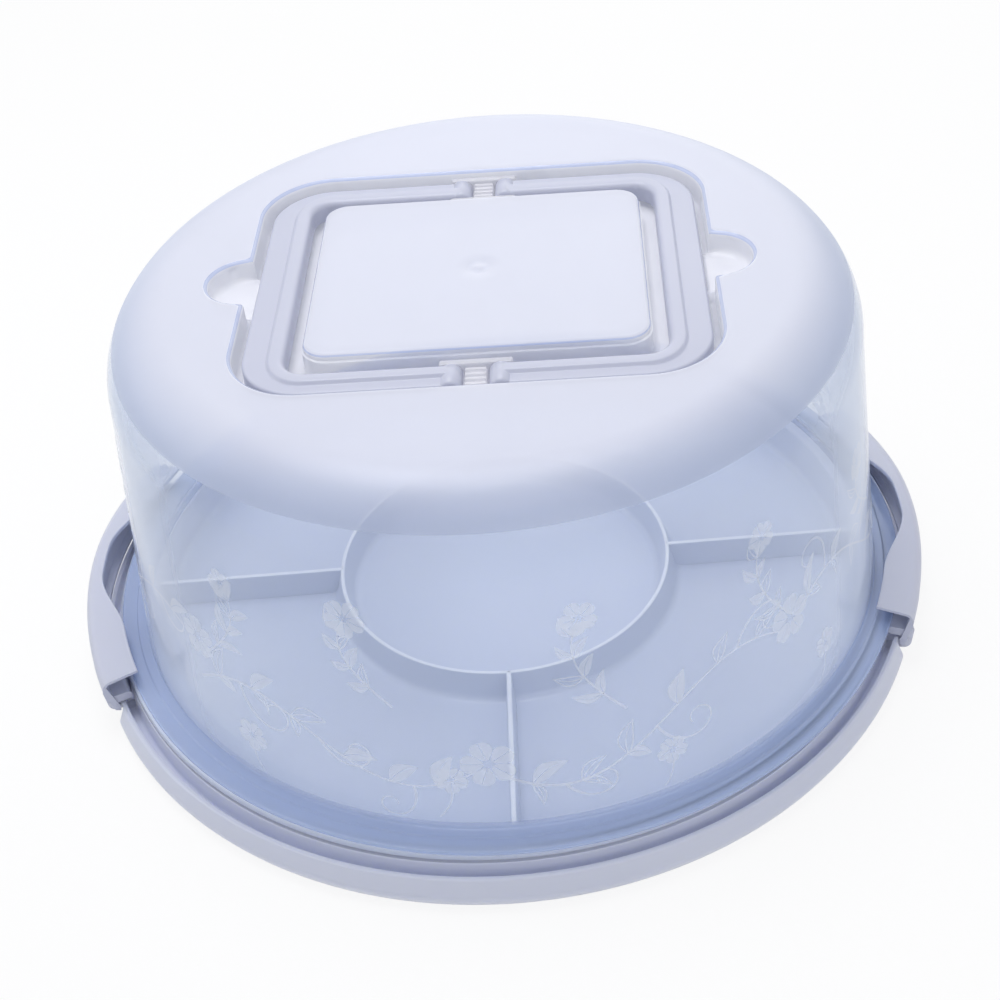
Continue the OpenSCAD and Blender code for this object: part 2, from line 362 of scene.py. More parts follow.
def moulded_plastic(name, low, high, roughness, scatter=0.0):
    """Satin injection-moulded plastic.

    It has a faint drift in its colour, an uneven sheen and a fine spark-eroded grain.
    """
    m, tree, shader, _ = new_material(name)
    drift = noise(tree, 18)
    grain = noise(tree, 1400, 1.0)
    sheen = level(tree, noise(tree, 60), roughness - 0.05, roughness + 0.05)
    tree.links.new(ramp(tree, drift, low, high), shader.inputs["Base Color"])
    tree.links.new(sheen, shader.inputs["Roughness"])
    shader.inputs["IOR"].default_value = PLASTIC_IOR
    shader.inputs["Subsurface Weight"].default_value = scatter
    shader.inputs["Subsurface Radius"].default_value = (0.004, 0.004, 0.006)
    bump(tree, shader, grain, 0.12, 0.0001)
    return m


def lets_lamps_through(tree, shader_out, share):
    """Mixes in a transparent shader for shadow rays, because light passes this plastic."""
    path = tree.nodes.new("ShaderNodeLightPath")
    clear = tree.nodes.new("ShaderNodeBsdfTransparent")
    some = calculate(tree, "MULTIPLY", path.outputs["Is Shadow Ray"], share)
    return mix_shaders(tree, some, shader_out, clear.outputs[0])


def clear_plastic(name, tint, least, most, power, roughness):
    """Thin clear plastic: see-through face on, and glossier and paler towards its edges."""
    m, tree, shader, surface = new_material(name)
    clear = tree.nodes.new("ShaderNodeBsdfTransparent")
    clear.inputs["Color"].default_value = (*tint, 1)
    shader.inputs["Base Color"].default_value = (0.80, 0.86, 0.97, 1)
    shader.inputs["Roughness"].default_value = roughness
    shader.inputs["IOR"].default_value = PLASTIC_IOR
    bump(tree, shader, noise(tree, 9), 0.25, 0.0015)
    body = level(tree, edge_on(tree, power), least, most)
    tree.links.new(mix_shaders(tree, body, clear.outputs[0], shader.outputs[0]), surface)
    return m


def frosted_plastic(name, colour, least, most, share, roughness, foot=None):
    """Clear plastic with some body.

    It hides the least face on and the most edge on, and share of a lamp's light passes it.
    foot is a darker, bluer colour that the body fades to at the shoulder's lower end: painted
    shade.
    """
    m, tree, shader, surface = new_material(name)
    pale = tuple(min(1.0, c * 1.05) for c in colour)
    body = ramp(tree, noise(tree, 14), colour, pale)
    # Painted shade: the colour darkens towards the shoulder's lower end
    if foot:
        body = ramp(tree, shoulder_shade_fade(tree), foot, body)
    tree.links.new(body, shader.inputs["Base Color"])
    shader.inputs["Roughness"].default_value = roughness
    shader.inputs["IOR"].default_value = PLASTIC_IOR
    if least == most:
        shader.inputs["Alpha"].default_value = least
    else:
        tree.links.new(level(tree, edge_on(tree, 0.6), least, most), shader.inputs["Alpha"])
    if roughness > 0.2:
        bump(tree, shader, noise(tree, 1800, 1.0), 0.10, 0.0001)
    tree.links.new(lets_lamps_through(tree, shader.outputs[0], share), surface)
    return m


RING_PLASTIC = moulded_plastic(
    "ring_plastic", (0.62, 0.65, 0.765), (0.66, 0.685, 0.795), 0.34, 0.25
)
# Painted light: a lighter, bluer plastic for the channel behind the lip, in place of the light that
# comes in through the lid's flange
RING_CHANNEL_LIGHT = moulded_plastic(
    "ring_channel_painted_light", (0.72, 0.755, 0.89), (0.76, 0.785, 0.91), 0.34, 0.3
)
HANDLE_PLASTIC = moulded_plastic(
    "handle_plastic", (0.52, 0.54, 0.65), (0.56, 0.575, 0.69), 0.36, 0.1
)
LATCH_PLASTIC = moulded_plastic(
    "latch_plastic", (0.55, 0.57, 0.68), (0.59, 0.61, 0.72), 0.36, 0.15
)
TRAY_PLASTIC = moulded_plastic(
    "tray_plastic", (0.60, 0.665, 0.81), (0.66, 0.70, 0.825), 0.30, 0.15
)
# Painted highlight: a paler plastic for the narrow tops of the tray's walls
TRAY_EDGE_HIGHLIGHT = moulded_plastic("tray_edge_highlight", (0.82, 0.86, 0.95), (0.87, 0.90, 0.97), 0.40, 0.15)
LID_CLEAR = clear_plastic("lid_clear", (0.965, 0.975, 0.99), 0.10, 0.85, 3.0, 0.05)
# Its foot colour is painted shade on the lower part of the shoulder
LID_FROSTED = frosted_plastic(
    "lid_frosted", (0.66, 0.675, 0.765), 0.42, 1.0, 0.85, 0.38, foot=(0.50, 0.56, 0.72)
)
# Glossy clear plastic for the recess, whose pale, near-white body is painted light: the glow of
# light passing through the recess from inside the lid
LID_GLOSS_GLOW = frosted_plastic("lid_gloss_painted_glow", (0.83, 0.83, 0.885), 0.42, 0.60, 0.85, 0.07)
LID_EDGE = frosted_plastic("lid_edge", (0.46, 0.53, 0.78), 0.55, 0.55, 0.8, 0.1)
LID_FLANGE = frosted_plastic("lid_flange", (0.42, 0.53, 0.79), 0.42, 0.42, 0.8, 0.12)
VINE_FROST = frosted_plastic("vine_frost", (0.90, 0.93, 1.0), 0.30, 0.30, 0.8, 0.45)


# ---- Base ring ----


def ring_profile(pocket, slot):
    """The ring's closed section.

    A latch's pocket cuts its outside upright, and a slot cuts the lip down.
    """
    step_z = RIM_WALL_Z - RIM_STEP_H
    corners = [
        (RING_INNER_R, 0, 0.6),
        (RING_R - 2.6, 0, 1.2),
        (RING_R, 5.2, 5),
        (LIP_R + 1.9, LIP_Z - 0.3, 0.5),
        (LIP_R + 1.3, LIP_Z, 0.3),
        (LIP_R, LIP_Z - 0.1, 0.4),
        (LIP_R, CHANNEL_Z, 0.9),
        (RIM_WALL_R + 1.0, CHANNEL_Z, 0.9),
        (RIM_WALL_R + 0.3, step_z, 0.3),
        (RIM_WALL_R - 1.1, step_z, 0.2),
        (RIM_WALL_R - 1.1, RIM_WALL_Z, 0.2),
        (RIM_WALL_R - RIM_WALL_W, RIM_WALL_Z, 0.4),
        (RIM_WALL_R - RIM_WALL_W, TRAY_Z, 0.4),
        (RING_INNER_R, TRAY_Z, 0.6),
    ]
    line = fillet(corners, steps=5)
    for p in line:
        if pocket:
            p.x = min(p.x, POCKET_R)
        if slot and p.x > RIM_WALL_R + 0.5:
            p.y = min(p.y, SLOT_Z)
    return line


def base_ring():
    """The ring turned about Z, with closely set sections where a pocket or a slot ends."""
    b = Builder()
    pockets = [(low - POCKET_PLAY, high + POCKET_PLAY) for low, high in (RIGHT_LATCH, LEFT_LATCH)]
    angles = {k * 0.5 for k in range(720)}
    near = 0.02  # how close the sections stand to a pocket's or a slot's end, in degrees
    for turn, pocket in zip((0, 180), pockets):
        for edge in (*pocket, SLOT[0], SLOT[1], -SLOT[0], -SLOT[1]):
            angles |= {(turn + edge - near) % 360, (turn + edge + near) % 360}
    sections = []
    for a in sorted(angles):
        off = (a + 90) % 180 - 90  # the angle from the nearer latch's middle
        low, high = pockets[0 if math.cos(math.radians(a)) > 0 else 1]
        t = math.radians(a)
        line = ring_profile(low < off < high, SLOT[0] < abs(off) < SLOT[1])
        sections.append([(p.x * math.cos(t), p.x * math.sin(t), p.y) for p in line])
    b.grid(sections, close=True)
    for side in (-1, 1):
        for end in (-1, 1):
            a, c = sorted((end * (ARM_Y - SIDE_FIT - LUG_W), end * (ARM_Y - SIDE_FIT)))
            x = side * HINGE_X
            b.rod((x, HINGE_Z), LUG_R, a, c)
            b.block((x - 2.4, a, SLOT_Z), (x + 2.4, c, HINGE_Z), edge=0.4)
    # The second material paints light into the channel behind the lip
    materials = [RING_PLASTIC, RING_CHANNEL_LIGHT]
    b.make("ring", "base", "base_plastic", materials, ["base_ring"], sharp=50, paint=painted_channel_light)


def painted_channel_light(centre, normal):
    """1 in the channel behind the lip, and 0 elsewhere.

    Those faces take a lighter, bluer plastic: painted light, for the light that comes into the
    channel through the lid's blue flange.
    """
    r = math.hypot(centre.x, centre.y)
    between = RIM_WALL_R - 0.3 < r / MM < LIP_R + 0.05
    return 1 if between and centre.z > (SLOT_Z + 0.1) * MM else 0


# ---- Serving tray ----


def serving_tray():
    """The tray turned about Z, and the four walls between its outer compartments."""
    floor, top, wall = TRAY_Z + TRAY_T, RIM_WALL_Z + TRAY_T, TRAY_WALL_R
    foot = 2.6  # how far the hub's wall spreads at its foot
    upper = [
        (HUB_R - 1.0 - foot, floor, 3.0),
        (HUB_R - 0.65, DIVIDER_Z, 0.5),
        (HUB_R + 0.65, DIVIDER_Z, 0.5),
        (HUB_R + 1.0 + foot, floor, 3.0),
        (131.0, floor, 3.5),
        (wall - 1.6, top, 1.2),
        (RIM_WALL_R, top, 0.7),
        (RIM_WALL_R, top - TRAY_T - TRAY_EDGE_H, 0.3),
        (RIM_WALL_R - 0.9, top - TRAY_T - TRAY_EDGE_H, 0.3),
        (RIM_WALL_R - 0.9, top - TRAY_T, 0.1),
        (wall, top - TRAY_T, 0.8),
        (TRAY_FOOT_R, TRAY_Z, 3.0),
    ]
    shell = fillet([(40.0, floor, 0)] + upper + [(40.0, TRAY_Z, 0)], closed=False)
    profile = [Vector((0.01, floor))] + shell + [Vector((0.01, TRAY_Z))]
    b = Builder()
    b.grid(revolved([(p.x, p.y) for p in profile], 360))
    divider = fillet(
        [
            (-2.6, floor - 1.2, 0),
            (-1.7, floor, 1.6),
            (-0.9, DIVIDER_Z, 0.6),
            (0.9, DIVIDER_Z, 0.6),
            (1.7, floor, 1.6),
            (2.6, floor - 1.2, 0),
        ],
        closed=False,
    )
    stations = (HUB_R - 0.3, HUB_R + 12, 90, 115, TRAY_FOOT_R, 133.8)
    for k in range(4):
        c, s = math.cos(math.pi / 2 * k), math.sin(math.pi / 2 * k)
        b.sweep([[(x * c - p.x * s, x * s + p.x * c, p.y) for p in divider] for x in stations])
    # The second material is a painted highlight on the walls' tops
    materials = [TRAY_PLASTIC, TRAY_EDGE_HIGHLIGHT]
    b.make("tray", "base", "tray_plastic", materials, ["serving_tray"], sharp=60, paint=painted_tray_highlights)


def painted_tray_highlights(centre, normal):
    """1 on the narrow tops of the compartment walls, which get a paler plastic as a painted
    highlight, and 0 elsewhere.
    """
    inside = math.hypot(centre.x, centre.y) < 133 * MM
    return 1 if centre.z > (DIVIDER_Z - 0.25) * MM and inside and abs(normal.z) > 0.6 else 0


# ---- Lid ----

CLEAR, FROSTED, GLOSS, FLANGE, EDGE = range(5)  # the places of the lid's materials
LID_STEPS = 432
LID_ANGLES = [2 * math.pi * k / LID_STEPS for k in range(LID_STEPS)]
TINY, FAR = 1e-9, 1e9


def rect_reach(a, shape, grow=0.0):
    """How far a rounded rectangle, grown by grow, reaches from its centre at angle a."""
    hx, hy, r = (max(v + grow, 0.3) for v in shape)
    c, s = abs(math.cos(a)), abs(math.sin(a))
    t = min(hx / c if c > TINY else FAR, hy / s if s > TINY else FAR)
    cx, cy = hx - r, hy - r
    if t * c > cx and t * s > cy:
        along = c * cx + s * cy
        t = along + math.sqrt(max(along * along - (cx * cx + cy * cy - r * r), 0.0))
    return t


def recess_reach(a, grow=0.0):
    """The recess's outline with its two scoops, blended where they meet."""
    t = rect_reach(a, RECESS, grow)
    cx, r = SCOOP_X, SCOOP_R + grow
    c, s = abs(math.cos(a)), abs(math.sin(a))
    if s * cx < r:
        u = c * cx + math.sqrt(r * r - (s * cx) ** 2)
        blend = 3.0
        near = max(blend - abs(u - t), 0.0) / blend
        t = max(t, u) + near * near * blend / 4
    return t


def in_scoop(a):
    """1 in the middle of a scoop, 0 elsewhere."""
    y = abs(SCOOP_X * math.tan(a)) if abs(math.cos(a)) > 0.2 else FAR
    return 1 - smooth(y, SCOOP_R - 1.0, SCOOP_R + 2.5)


def lid_rows(skin):
    """The lid's surface, sunk by skin: rows from the wall's foot to the middle of the crown.

    Each row comes with the material of the strip that leads up to it.
    """
    top = LID_Z - skin
    shoulder_z = LID_Z - SHOULDER_R
    shoulder_x = WALL_TOP_R - SHOULDER_R
    rows = []

    def ring(r, z, slot):
        """A round row."""
        rows.append(([(r * math.cos(a), r * math.sin(a), z) for a in LID_ANGLES], slot))

    def outline(reach, z, slot):
        """A row whose distance from the middle, and maybe its height, depends on the angle."""
        line = []
        for a in LID_ANGLES:
            r = reach(a)
            line.append((r * math.cos(a), r * math.sin(a), z(a) if callable(z) else z))
        rows.append((line, slot))

    # The side wall, and the shoulder from clear to frosted
    for k in range(13):
        f = k / 12
        r = WALL_FOOT_R - skin + (WALL_TOP_R - WALL_FOOT_R) * f
        ring(r, FLANGE_Z + WALL_FOOT_H + (shoulder_z - FLANGE_Z - WALL_FOOT_H) * f, CLEAR)
    frosted_from = FROST_ANGLE + FROST_FADE
    angles = [(FROST_ANGLE * k / 5, CLEAR) for k in range(1, 6)] + [(frosted_from, CLEAR)]
    frosted_arc = 90 - FROST_FADE - FROST_ANGLE
    angles += [(frosted_from + frosted_arc * k / 14, FROSTED) for k in range(1, 15)]
    for deg, slot in angles:
        t = math.radians(deg)
        r = SHOULDER_R - skin
        ring(shoulder_x + r * math.cos(t), shoulder_z + r * math.sin(t), slot)
    # The crown, in to the recess's rounded rim
    edge = max(2.0 - skin, 0.4)
    for f in (0.15, 0.4, 0.65, 0.85, 0.95):
        outline(
            lambda a, f=f: shoulder_x + (recess_reach(a, skin + edge) - shoulder_x) * f,
            top,
            FROSTED,
        )
    for deg in (0, 20, 40, 60, 80, 90):
        t = math.radians(deg)
        outline(
            lambda a, t=t: recess_reach(a, skin + edge * (1 - math.sin(t))),
            top - edge * (1 - math.cos(t)),
            FROSTED if deg < 30 else EDGE if deg < 70 else GLOSS,
        )
    # The recess's wall, the scoops' shallower floors and the recess's floor
    round_r = 2.4 + skin

    def depth(a):
        return RECESS_D + (SCOOP_D - RECESS_D) * in_scoop(a)

    for deg in (0, 20, 45, 70, 90):
        t = math.radians(deg)
        outline(
            lambda a, t=t: recess_reach(a, skin - round_r * (1 - math.cos(t))),
            lambda a, t=t: top - depth(a) + round_r * (1 - math.sin(t)),
            GLOSS,
        )
    inner = skin - round_r
    last_grow = -1.6
    for grow, sunk in ((1.2, 0.0), (0.4, 0.12), (-0.6, 0.7), (last_grow, 1.0)):
        outline(
            lambda a, grow=grow: min(recess_reach(a, inner), rect_reach(a, RECESS, inner + grow)),
            lambda a, sunk=sunk: top - depth(a) - sunk * (RECESS_D - depth(a)),
            GLOSS,
        )
    floor = top - RECESS_D
    for f in (0.35, 0.7):
        outline(
            lambda a, f=f: rect_reach(a, RECESS, inner + last_grow) * (1 - f)
            + rect_reach(a, PLATEAU, round_r - skin) * f,
            floor,
            GLOSS,
        )
    # The raised middle: its foot, a small step under its rim, the rim and the top
    for deg in (0, 30, 60, 90):
        t = math.radians(deg)
        outline(
            lambda a, t=t: rect_reach(a, PLATEAU, -skin + round_r * (1 - math.sin(t))),
            floor + round_r * (1 - math.cos(t)),
            GLOSS,
        )
    step = 0.5
    outline(lambda a: rect_reach(a, PLATEAU, -skin), top - 2.6, GLOSS)
    outline(lambda a: rect_reach(a, PLATEAU, -skin - step), top - 2.2, GLOSS)
    edge = max(1.5 - skin, 0.3)
    for deg in (90, 65, 40, 20, 0):
        t = math.radians(deg)
        outline(
            lambda a, t=t: rect_reach(a, PLATEAU, -skin - step - edge * (1 - math.sin(t))),
            top - edge * (1 - math.cos(t)),
            FROSTED if deg < 30 else EDGE if deg < 50 else GLOSS,
        )
    for f in (0.9, 0.7, 0.45):
        outline(
            lambda a, f=f: rect_reach(a, PLATEAU, -skin - 2.0) * f + 6.0 * (1 - f), top, FROSTED
        )
    gate = 0.0 if skin else 0.2  # the depth of the gate mark's ring
    for r, sunk in ((9.0, 0.0), (4.6, 0.0), (4.1, gate), (1.8, gate), (1.4, 0.0), (0.05, 0.0)):
        ring(r, top - sunk, FROSTED)
    return rows


def lid_shell():
    """The lid: an outer and an inner skin, joined below by the flange."""
    b = Builder()
    outer, inner = lid_rows(0.0), lid_rows(SKIN)
    wall_z, flange_top, root_z = FLANGE_Z + WALL_FOOT_H, FLANGE_Z + FLANGE_T, FLANGE_Z + 2.3
    flange = fillet(
        [
            (WALL_FOOT_R - SKIN, wall_z, 0),
            (WALL_FOOT_R - SKIN, FLANGE_Z, 0.3),
            (FLANGE_R, FLANGE_Z, 0.5),
            (FLANGE_R, flange_top, 0.7),
            (141.6, flange_top, 0.3),
            (141.0, root_z, 0.3),
            (WALL_FOOT_R, root_z, 0.8),
            (WALL_FOOT_R, wall_z, 0),
        ],
        closed=False,
        steps=4,
    )
    b.grid(revolved([(p.x, p.y) for p in flange], LID_STEPS), slot=FLANGE)
    for rows, flip in ((outer, False), (inner, True)):
        b.grid([r for r, _ in rows], slot=lambda i, rows=rows: rows[i + 1][1], flip=flip)
    add_webs(b)
    materials = [LID_CLEAR, LID_FROSTED, LID_GLOSS_GLOW, LID_FLANGE, LID_EDGE]
    b.make("lid", "lid", "lid_clear", materials, ["lid_shell"], matrix=on_lid(), sharp=45)


def add_webs(b):
    """The clear webs that hold the handles' pins, with a ribbed block between the knuckles."""
    floor, web = LID_Z - RECESS_D - 0.2, 3.0
    half = PIVOT_X + KNUCKLE_R
    side = HANDLE[1] - LEG_W
    reach = PIVOT_X - KNUCKLE_R - 0.5
    for s in (-1, 1):
        for y in (side - SIDE_FIT - web, HANDLE[1] + 0.5):
            a, c = sorted((s * y, s * (y + web)))
            b.block((-half, a, floor), (half, c, PIVOT_Z + 2.8), GLOSS, edge=0.7)
        a, c = sorted((s * side, s * HANDLE[1]))
        b.block((-reach, a, floor), (reach, c, PIVOT_Z + 1.0), GLOSS, edge=0.5)
        for k in range(4):
            y = a + 1.4 + k * (c - a - 2.8) / 3
            low = (-reach + 0.3, y - 0.7, PIVOT_Z + 0.8)
            high = (reach - 0.3, y + 0.7, PIVOT_Z + 2.2)
            b.block(low, high, GLOSS, edge=0.3)


# ---- Vine on the lid's wall ----


class Vine:
    """Draws flat shapes on the lid's wall. x runs round the wall and y up it, in millimetres."""

    def __init__(self):
        self.b = Builder()
        self.lift = 0.12

    def place(self, x, y):
        """A point of the wall, kept clear of the wall's foot and its shoulder."""
        z = min(max(y, 24.0), 119.0)
        f = (z - FLANGE_Z - WALL_FOOT_H) / (LID_Z - SHOULDER_R - FLANGE_Z - WALL_FOOT_H)
        r = WALL_FOOT_R + (WALL_TOP_R - WALL_FOOT_R) * f + self.lift
        a = x / WALL_FOOT_R
        return (r * math.cos(a), r * math.sin(a), z)

    def strip(self, left, right):
        """A band between two lines."""
        self.b.grid([[self.place(*p) for p in left], [self.place(*p) for p in right]], around=False)

    def stem(self, points, width, end_width):
        """A band along points that narrows from width to end_width."""
        left, right = [], []
        n = len(points) - 1
        for i, p in enumerate(points):
            q, o = points[min(i + 1, n)], points[max(i - 1, 0)]
            d = Vector((q[0] - o[0], q[1] - o[1])).normalized()
            w = (width + (end_width - width) * i / n) / 2
            left.append((p[0] - d.y * w, p[1] + d.x * w))
            right.append((p[0] + d.y * w, p[1] - d.x * w))
        self.strip(left, right)

    def leaf(self, x, y, angle, length, width, filled=True):
        """A pointed leaf with an open midrib, or only its outline and its midrib."""
        c, s = math.cos(angle), math.sin(angle)

        def at(t, off):
            """A point t of the way along the leaf's bent midrib, and off beside it."""
            u, v = t * length, 0.12 * length * math.sin(math.pi * t) + off
            return (x + u * c - v * s, y + u * s + v * c)

        for side in (-1, 1):
            edge, rib = [], []
            for k in range(13):
                t = k / 12
                w = width / 2 * math.sin(math.pi * t**0.8) + 0.02
                gap = 0.16 * (1 - t) + 0.02 if filled else max(w - 0.55, 0.01)
                edge.append(at(t, side * w))
                rib.append(at(t, side * gap))
            self.strip(edge, rib)
        if not filled:
            self.stem([at(t, 0) for t in (0, 0.2, 0.4, 0.6, 0.8)], 0.5, 0.2)

    def curl(self, x, y, angle, size, turn):
        """A tendril that winds inwards."""
        points = []
        px, py, a = x, y, angle
        steps = 34
        for k in range(steps):
            points.append((px, py))
            step = size / 9
            px, py = px + step * math.cos(a), py + step * math.sin(a)
            a += turn * (0.06 + 0.42 * (k / steps) ** 1.6)
        self.stem(points, 1.0, 0.45)

    def blossom(self, x, y, size, spin):
        """Five broad notched petals about an open middle."""
        petals = 5
        for k in range(petals):
            a = spin + k * math.tau / petals
            c, s = math.cos(a), math.sin(a)
            for side in (-1, 1):
                inner, outer = [], []
                for j in range(11):
                    t = j / 10
                    swell = math.sin(math.pi * min(t * 0.98 + 0.02, 1)) ** 0.7
                    w = 0.46 * size * swell * (0.55 + 0.45 * t)
                    u = size * (0.16 + 0.84 * t) - (0.10 * size if j == 10 else 0)
                    for line, off in ((inner, 0.12), (outer, w + 0.14)):
                        line.append((x + u * c - side * off * s, y + u * s + side * off * c))
                self.strip(inner, outer)


def vine():
    """A meandering stem with rising sprays, made up anew for each stretch of the wall."""
    v = Vine()
    rng = random.Random(23)

    def some_leaf(x, y, along, side, splay, length, width, filled_share):
        """A leaf beside a stem that runs along an angle, its measures drawn from ranges."""
        angle = along + side * rng.uniform(*splay)
        v.leaf(x, y, angle, rng.uniform(*length), rng.uniform(*width), rng.random() < filled_share)

    around = math.tau * WALL_FOOT_R
    stretches = 8
    length = around / stretches
    for k in range(stretches):
        x0 = k * length + rng.uniform(-4, 4)
        y0 = rng.uniform(46, 56)
        rise = rng.uniform(11, 16) * (1 if k % 2 else -1)
        stem = []
        for t in range(41):
            wave = math.sin(math.pi * 1.7 * t / 40 + 0.4)
            stem.append((x0 + length * 0.97 * t / 40, y0 + rise * wave + 5 * t / 40))
        v.stem(stem, 1.1, 0.6)
        for i in (4, 10, 16, 23, 29, 35):
            x, y = stem[i]
            a = math.atan2(stem[i + 1][1] - y, stem[i + 1][0] - x)
            side = 1 if (i // 3) % 2 else -1
            some_leaf(x, y, a, side, (0.5, 0.9), (11, 16), (4.5, 6.5), 0.6)
            if i % 2 == 0:
                some_leaf(x, y, a, -side, (0.6, 1.1), (8, 11), (3.2, 4.6), 0.5)
        for i in (8, 20, 32):
            x, y = stem[i]
            up = 1 if rng.random() < 0.6 else -1
            v.curl(x, y, up * rng.uniform(0.9, 1.4), rng.uniform(9, 14), up * rng.choice((-1, 1)))
        x, y = stem[-1]
        v.blossom(x + 4, y + 3, rng.uniform(8, 10), rng.uniform(0, 1))
    sprays = 12
    for k in range(sprays):
        x = (k + 0.5) * around / sprays + rng.uniform(-9, 9)
        y = rng.uniform(60, 72)
        lean = rng.choice((-1, 1))
        tall = rng.uniform(24, 42)
        branch = [(x + lean * 16 * math.sin(2.2 * t / 24), y + tall * t / 24) for t in range(25)]
        v.stem(branch, 0.9, 0.4)
        for i in (5, 10, 15, 20):
            bx, by = branch[i]
            a = math.atan2(branch[i + 1][1] - by, branch[i + 1][0] - bx)
            for side in (-1, 1):
                some_leaf(bx, by, a, side, (0.6, 1.0), (7, 12), (3, 4.6), 0.5)
        bx, by = branch[-1]
        v.blossom(bx, by, rng.uniform(5.5, 8), rng.uniform(0, 1))
        fx, fy = x + rng.uniform(14, 20), rng.uniform(30, 36)
        v.blossom(fx, fy + 8, rng.uniform(5, 7), rng.uniform(0, 1))
        v.stem([(fx + lean * 0.1 * t * t, fy + 3 - 1.6 * t) for t in range(8)], 0.8, 0.4)
    v.b.make("vine", "lid", "lid_clear", [VINE_FROST], matrix=on_lid(), sharp=80)


# ---- Handles ----


def handle_section(width):
    """Across a handle, from its outer side inwards, and up.

    It is a flat band with a raised round rim on its inner side.
    """
    rim = 5.6  # the rim's width
    band = HANDLE_T - 1.1
    return fillet(
        [
            (0, 0, 0.6),
            (0, band, 1.0),
            (width - rim - 0.5, band - 0.2, 0.8),
            (width - rim + 0.5, HANDLE_T, 1.0),
            (width, HANDLE_T, 2.2),
            (width, 0, 0.9),
        ],
        steps=4,
    )


def handle(name, node, body, turn):
    """A U of the handle section, with a knuckle and a pin at each end."""
    hx, hy, r = HANDLE
    path = []  # point, inward normal, width
    bend = 16
    stop = PIVOT_X + 0.5
    for x in (stop, stop + 12, stop + 24, hx - r - 4):
        path.append(((x, -hy), (0, 1), LEG_W))
    for k in range(bend + 1):
        t = -math.pi / 2 + math.pi / 2 * k / bend
        w = LEG_W + (GRIP_W - LEG_W) * smooth(k / bend)
        c, s = math.cos(t), math.sin(t)
        path.append(((hx - r + r * c, -hy + r + r * s), (-c, -s), w))
    for y in (-hy / 3, 0, hy / 3):
        path.append(((hx, y), (-1, 0), GRIP_W))
    for (x, y), (nx, ny), w in reversed(path[:-3]):
        path.append(((x, -y), (nx, -ny), w))
    b = Builder()
    b.sweep(
        [
            [(x + nx * p.x, y + ny * p.x, HANDLE_Z + p.y) for p in handle_section(w)]
            for (x, y), (nx, ny), w in path
        ]
    )
    for s in (-1, 1):
        a, c = sorted((s * (hy - LEG_W), s * hy))
        b.rod((PIVOT_X, PIVOT_Z), KNUCKLE_R, a, c, edge=0.7)
        a, c = a - HANDLE_PIN_LENGTH, c + HANDLE_PIN_LENGTH
        b.rod((PIVOT_X, PIVOT_Z), HANDLE_PIN_R, a, c, edge=0.3)
    matrix = on_lid() @ Matrix.Rotation(turn, 4, "Z")
    b.make(name, body, "handle_plastic", [HANDLE_PLASTIC], [node], matrix=matrix, sharp=50)


# ---- Latches ----


def latch_share(phi):
    """0 in the latch's middle and 1 at its ends, by the square of the distance along it."""
    return (math.sin(math.radians(phi)) / math.sin(math.radians(LATCH_HALF))) ** 2


def latch_section(phi, low_end, high_end):
    """Radius and height round the latch's section at an angle.

    It runs from the jaw over the rounded shoulder and down the flared outer wall to the lower
    lip, and back up inside.
    """
    share = latch_share(phi)
    near_end = min(phi - low_end, high_end - phi)
    over_arm = smooth(-near_end, -8.5, -6.5)  # the lower lip keeps clear of the arms
    out = LATCH_R + 0.9 * share
    foot = LATCH_R - 1.4 - 1.2 * share
    top = LATCH_TOP + (LATCH_END_TOP - LATCH_TOP) * share
    tip = 150.9 - 7.6 * smooth(abs(phi), 3, 15)
    low = LATCH_LOW - 2.4 * smooth(-near_end, -6, -4)
    lip = 151.5 + 1.0 * over_arm
    under = low - 0.1 - 0.9 * over_arm
    jaw = LATCH_T - 0.9 * smooth(-near_end, -3, 0)
    drop = 0.08 * (out - tip)  # the jaw falls a little outwards
    return fillet(
        [
            (tip, top - jaw, 0.45),
            (tip, top, 0.45),
            (out - 0.2, top - drop, 3.6),
            (foot, low, 0.9),
            (lip, under, 0.3),
            (lip, low + 1.6, 0.5),
            (foot - LATCH_T + 0.2, low + 2.2, 0.3),
            (out - LATCH_T - 0.4, top - drop - jaw, 1.2),
        ],
        steps=6,
    )


def latch(name, node, body, turn, low_end, high_end):
    """A latch along the right side of the ring, with arms and pins, and then turned into place."""
    b = Builder()
    angles = [low_end + (high_end - low_end) * k / 120 for k in range(121)]
    b.sweep([[polar(p, a) for p in latch_section(a, low_end, high_end)] for a in angles])
    arm = fillet(
        [(140.2, 5.2, 2.4), (145.4, 5.2, 2.4), (146.4, 14.0, 0.6), (140.6, 14.0, 0.6)], steps=6
    )
    bar = fillet(
        [(147.4, 12.6, 0.8), (154.0, 12.6, 0.3), (154.6, 16.0, 0.3), (147.4, 16.0, 1.5)], steps=4
    )
    middle = Vector((143.2, 9.0))  # of the arm's side
    bar_start = 19.9  # in degrees
    for s, end in ((-1, -low_end), (1, high_end)):
        stations = [s * (bar_start + (end - 0.3 - bar_start) * k / 4) for k in range(5)]
        b.sweep([[polar(p, a) for p in bar] for a in stations][::s])
        a, c = sorted((s * ARM_Y, s * (ARM_Y + ARM_W)))
        rows = []
        for y, size in ((a, 0.9), (a + 0.4, 1.0), (c - 0.4, 1.0), (c, 0.9)):
            rows.append([])
            for p in arm[::-1]:
                x, z = middle.x + (p.x - middle.x) * size, middle.y + (p.y - middle.y) * size
                rows[-1].append((x, y, z))
        b.sweep(rows)
        a, c = sorted((s * (ARM_Y - LUG_W), s * (ARM_Y + ARM_W + 0.6)))
        b.rod((HINGE_X, HINGE_Z), LATCH_PIN_R, a, c, edge=0.3)
    matrix = Matrix.Rotation(turn, 4, "Z")
    b.make(name, body, "latch_plastic", [LATCH_PLASTIC], [node], matrix=matrix, sharp=50)


